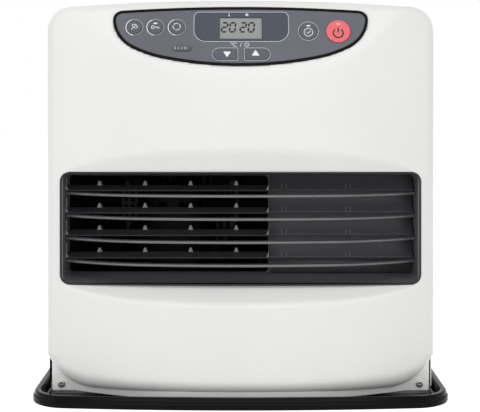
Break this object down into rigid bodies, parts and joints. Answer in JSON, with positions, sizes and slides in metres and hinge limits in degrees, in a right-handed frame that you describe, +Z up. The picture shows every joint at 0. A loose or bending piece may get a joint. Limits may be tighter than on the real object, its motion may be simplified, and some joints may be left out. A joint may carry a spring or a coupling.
{
  "type": "paraffin heater",
  "caption": "Free-standing electronic paraffin heater with a bowed louvred front, a leaning control panel, a fan at the back, a removable tank under a lid and a drip tray.",
  "frame": {"origin": "on the floor, under the middle of the drip tray", "axes": "+X to the right as you face the front, the front faces -Y, +Z up"},
  "size_m": [0.455, 0.325, 0.438],
  "materials": {
    "white_enamel": "semi-gloss white stoved enamel on steel",
    "black_enamel": "gloss black enamel on steel",
    "dark_heatproof_paint": "satin heat resistant dark grey paint",
    "sooted_paint": "matt black heat resistant paint, sooted",
    "grey_fascia": "fine textured grey ABS",
    "black_bezel": "gloss black ABS",
    "smoked_window": "printed dark blue-grey window",
    "lcd": "grey liquid crystal display",
    "grey_button": "satin grey ABS",
    "red_button": "coral red ABS",
    "zinc_screw": "bright zinc plated",
    "galvanised_steel": "galvanised sheet",
    "stainless_steel": "heat tinted stainless steel",
    "cast_burner": "cast burner pot",
    "black_plastic": "moulded black plastic",
    "filter_net": "dark filter net and frame",
    "white_plastic": "moulded white plastic",
    "motor_case": "painted motor case",
    "copper_pipe": "bare copper",
    "brass_pump": "plated pump body",
    "circuit_board": "green circuit board with parts",
    "ceramic": "white ceramic",
    "tank_steel": "grey painted steel can",
    "red_cap": "red moulded cap",
    "transformer_iron": "varnished core and winding"
  },
  "bodies": {
    "cabinet": {"drip_tray": "black_enamel", "base_plate": "galvanised_steel", "front_panel": "white_enamel", "front_panel_screws": "zinc_screw", "left_side_panel": "white_enamel", "right_side_panel": "white_enamel", "top_cover": "white_enamel", "rear_panel": "white_enamel", "rear_panel_screws": "zinc_screw", "left_carry_grip": "white_plastic", "right_carry_grip": "white_plastic", "cord_gland": "black_plastic", "rear_guard": "black_plastic", "control_bezel": "black_bezel", "control_fascia": "grey_fascia", "display_window": "smoked_window", "display_module": "lcd", "control_board": "circuit_board", "outlet_frame": "dark_heatproof_paint", "louvre_bar_1": "dark_heatproof_paint", "louvre_bar_2": "dark_heatproof_paint", "louvre_bar_3": "dark_heatproof_paint", "louvre_bar_4": "dark_heatproof_paint", "outlet_slat_1": "dark_heatproof_paint", "outlet_slat_2": "dark_heatproof_paint", "outlet_slat_3": "dark_heatproof_paint", "outlet_slat_4": "dark_heatproof_paint", "heat_duct": "sooted_paint", "combustion_cylinder": "sooted_paint", "flame_ring": "stainless_steel", "burner_pot": "cast_burner", "igniter_plug": "ceramic", "blower_housing": "galvanised_steel", "blower_motor": "motor_case", "fan_motor": "motor_case", "fan_bracket": "sooted_paint", "partition_plate": "sooted_paint", "fuel_sump": "galvanised_steel", "sump_collar": "galvanised_steel", "fuel_pump": "brass_pump", "fuel_pipe": "copper_pipe", "main_board": "circuit_board", "transformer": "transformer_iron", "tip_switch": "white_plastic"},
    "tank_lid": {"tank_lid": "white_enamel"},
    "air_filter": {"air_filter": "filter_net"},
    "convection_fan": {"convection_fan": "sooted_paint"},
    "blower_impeller": {"blower_impeller": "black_plastic"},
    "fuel_tank": {"fuel_tank": "tank_steel", "tank_handle": "black_plastic"},
    "tank_cap": {"tank_cap": "red_cap"},
    "tip_pendulum": {"tip_pendulum": "zinc_screw"},
    "save_button": {"save_button": "grey_button"},
    "child_lock_button": {"child_lock_button": "grey_button"},
    "extend_button": {"extend_button": "grey_button"},
    "on_off_button": {"on_off_button": "grey_button"},
    "down_button": {"down_button": "grey_button"},
    "up_button": {"up_button": "grey_button"},
    "timer_button": {"timer_button": "grey_button"},
    "power_button": {"power_button": "red_button"}
  },
  "joints": [
    {"name": "lid_hinge", "type": "hinge", "parent": "cabinet", "child": "tank_lid", "pos_m": [0.064, 0, 0.43447], "axis": [0, -1, 0], "range_deg": [0, 100]},
    {"name": "filter_slide", "type": "slide", "parent": "cabinet", "child": "air_filter", "axis": [0, 0, 1], "range_m": [0, 0.18]},
    {"name": "fan_spin", "type": "hinge", "parent": "cabinet", "child": "convection_fan", "pos_m": [-0.08, 0.12, 0.19], "axis": [0, 1, 0], "continuous": true},
    {"name": "blower_spin", "type": "hinge", "parent": "cabinet", "child": "blower_impeller", "pos_m": [-0.166, 0.03, 0.06], "axis": [0, 1, 0], "continuous": true},
    {"name": "tank_lift", "type": "slide", "parent": "cabinet", "child": "fuel_tank", "axis": [0, 0, 1], "range_m": [0, 0.006]},
    {"name": "cap_turn", "type": "hinge", "parent": "fuel_tank", "child": "tank_cap", "pos_m": [0.125, 0.036, 0.06], "axis": [0, 0, 1], "range_deg": [0, 360]},
    {"name": "pendulum_swing", "type": "hinge", "parent": "cabinet", "child": "tip_pendulum", "pos_m": [0.014, -0.04, 0.0467], "axis": [1, 0, 0], "range_deg": [-12, 12]},
    {"name": "save_button_press", "type": "slide", "parent": "cabinet", "child": "save_button", "axis": [0, 0.9336, -0.3584], "range_m": [0, 0.0012], "stiffness_N_per_m": 800},
    {"name": "child_lock_button_press", "type": "slide", "parent": "cabinet", "child": "child_lock_button", "axis": [0, 0.9336, -0.3584], "range_m": [0, 0.0012], "stiffness_N_per_m": 800},
    {"name": "extend_button_press", "type": "slide", "parent": "cabinet", "child": "extend_button", "axis": [0, 0.9336, -0.3584], "range_m": [0, 0.0012], "stiffness_N_per_m": 800},
    {"name": "on_off_button_press", "type": "slide", "parent": "cabinet", "child": "on_off_button", "axis": [0, 0.9336, -0.3584], "range_m": [0, 0.0012], "stiffness_N_per_m": 800},
    {"name": "down_button_press", "type": "slide", "parent": "cabinet", "child": "down_button", "axis": [0, 0.9336, -0.3584], "range_m": [0, 0.0012], "stiffness_N_per_m": 800},
    {"name": "up_button_press", "type": "slide", "parent": "cabinet", "child": "up_button", "axis": [0, 0.9336, -0.3584], "range_m": [0, 0.0012], "stiffness_N_per_m": 800},
    {"name": "timer_button_press", "type": "slide", "parent": "cabinet", "child": "timer_button", "axis": [0, 0.9336, -0.3584], "range_m": [0, 0.0012], "stiffness_N_per_m": 800},
    {"name": "power_button_press", "type": "slide", "parent": "cabinet", "child": "power_button", "axis": [0, 0.9336, -0.3584], "range_m": [0, 0.0012], "stiffness_N_per_m": 800}
  ]
}
